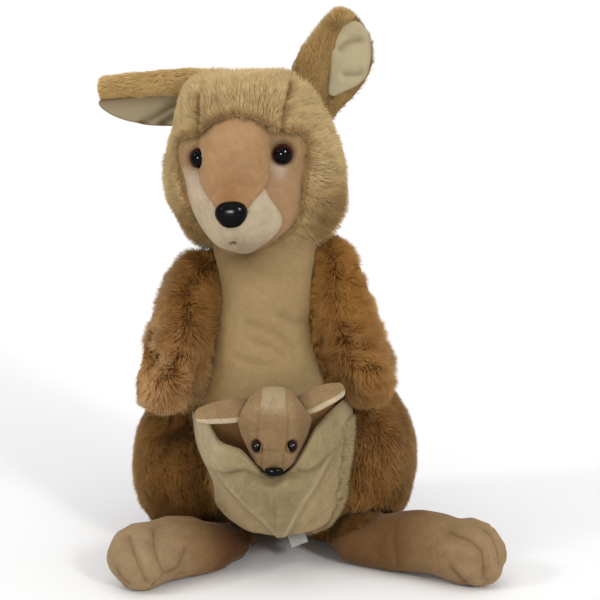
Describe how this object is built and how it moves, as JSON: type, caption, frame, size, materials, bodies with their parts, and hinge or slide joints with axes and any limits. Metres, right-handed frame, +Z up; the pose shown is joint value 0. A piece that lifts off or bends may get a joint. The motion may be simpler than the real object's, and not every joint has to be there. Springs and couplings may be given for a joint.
{
  "type": "plush kangaroo toy with joey",
  "caption": "Sitting plush kangaroo toy with long fur, short-pile face and belly, one ear folded sideways, splayed feet, a thick tail and a small joey sewn into the pouch.",
  "frame": {"origin": "on the floor under the middle of the overall box", "axes": "+Z up; the toy faces -Y and its tail runs to +Y; the toy's own left side is at +X"},
  "size_m": [0.2406, 0.297, 0.3293],
  "materials": {
    "fur_tan": "long plush pile, matte",
    "fur_brown": "long plush pile, brown with tan tips, matte",
    "velour_tan": "short velour pile, soft sheen",
    "velour_cream": "short velour pile, soft sheen",
    "plastic_black": "polished black plastic",
    "ribbon_white": "plain woven ribbon"
  },
  "bodies": {
    "root": {"hood": "fur_tan", "ear_R": "fur_tan", "ear_L": "fur_tan", "trunk": "fur_brown", "thigh_R": "fur_brown", "thigh_L": "fur_brown", "arm_R": "fur_brown", "arm_L": "fur_brown", "tail": "fur_brown", "face": "velour_tan", "foot_R": "velour_tan", "foot_L": "velour_tan", "joey_head": "velour_tan", "joey_body": "velour_tan", "joey_ear_R": "velour_tan", "joey_ear_L": "velour_tan", "belly_panel": "velour_cream", "pouch": "velour_cream", "ear_lining_R": "velour_cream", "ear_lining_L": "velour_cream", "eye_R": "plastic_black", "eye_L": "plastic_black", "nose": "plastic_black", "joey_eye_R": "plastic_black", "joey_eye_L": "plastic_black", "joey_nose": "plastic_black", "tag": "ribbon_white"}
  },
  "joints": []
}
